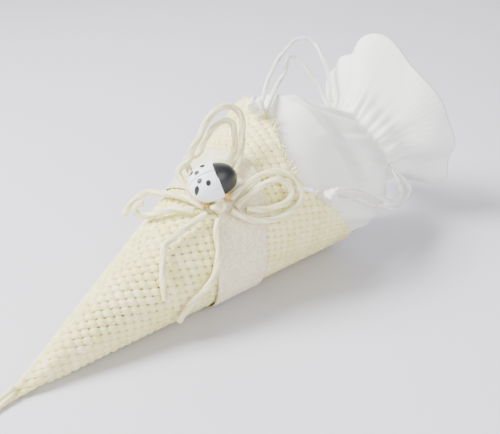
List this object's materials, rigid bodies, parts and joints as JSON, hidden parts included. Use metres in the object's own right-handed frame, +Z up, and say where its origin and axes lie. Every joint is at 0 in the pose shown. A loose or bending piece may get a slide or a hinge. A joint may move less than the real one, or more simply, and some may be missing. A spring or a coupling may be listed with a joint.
{
  "type": "paper cone bag",
  "caption": "Woven straw cone bag lying on its side, with a muslin drawstring pouch in its mouth, a ribbon band, a twine bow and a wooden ladybird button.",
  "frame": {"origin": "on the flat underside of the cone, 150 mm from the tip along the line it lies on", "axes": "X along the line the cone lies on, from tip to mouth; Z up; Y to the left seen from the tip, so the bow faces -Y"},
  "size_m": [0.2527, 0.0867, 0.0917],
  "materials": {
    "straw": "matte",
    "ribbon": "matte",
    "muslin": "matte",
    "painted_wood": "gloss",
    "glue": "gloss",
    "twine": "matte",
    "string": "matte"
  },
  "bodies": {
    "root": {"woven_cone": "straw", "ribbon_band": "ribbon", "drawstring_pouch": "muslin", "ladybird_button": "painted_wood", "glue_dab": "glue", "bow_knot": "twine", "left_drawstring_knot": "string", "right_drawstring_knot": "string", "bow_loop_upper_outer": "twine", "bow_loop_upper_inner": "twine", "bow_loop_right_outer": "twine", "bow_loop_right_inner": "twine", "bow_tail_left": "twine", "bow_tail_front": "twine", "bow_tail_back": "twine", "bow_tail_curl": "twine", "left_drawstring_outer": "string", "left_drawstring_inner": "string", "right_drawstring_outer": "string", "right_drawstring_inner": "string", "knot_end_upper": "string"}
  },
  "joints": []
}
